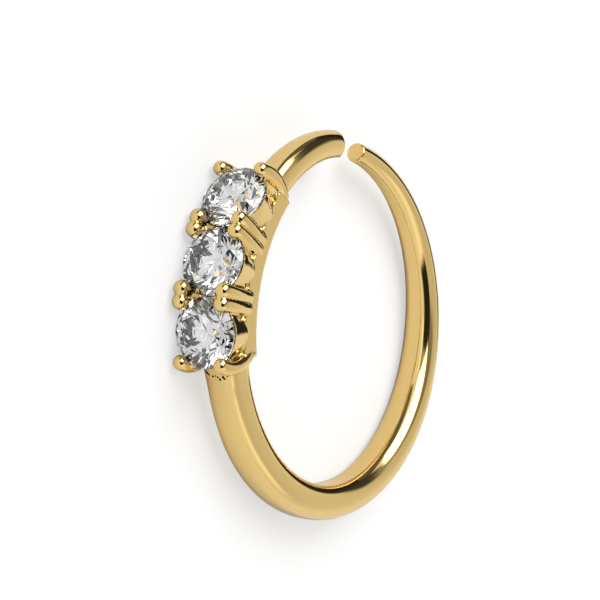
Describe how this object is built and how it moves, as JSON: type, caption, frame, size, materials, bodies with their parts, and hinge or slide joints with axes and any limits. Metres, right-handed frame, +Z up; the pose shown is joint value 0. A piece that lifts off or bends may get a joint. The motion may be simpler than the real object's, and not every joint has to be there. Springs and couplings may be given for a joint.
{
  "type": "three-stone open hoop ring",
  "caption": "Open hoop ring of polished yellow metal, its band tapering to a rounded free end, with round clear stones in claw settings along one side.",
  "frame": {"origin": "centre of the bounding box on the surface that the ring lies on", "axes": "+Z up from that surface, close to the hoop's axis; -Y towards the middle stone; +X the side of the closed band, away from the gap"},
  "size_m": [0.0116, 0.013, 0.0021],
  "materials": {
    "gold": "polished",
    "stone": "polished"
  },
  "bodies": {
    "root": {"hoop_and_setting": "gold", "stone_upper": "stone", "stone_middle": "stone", "stone_lower": "stone"}
  },
  "joints": []
}
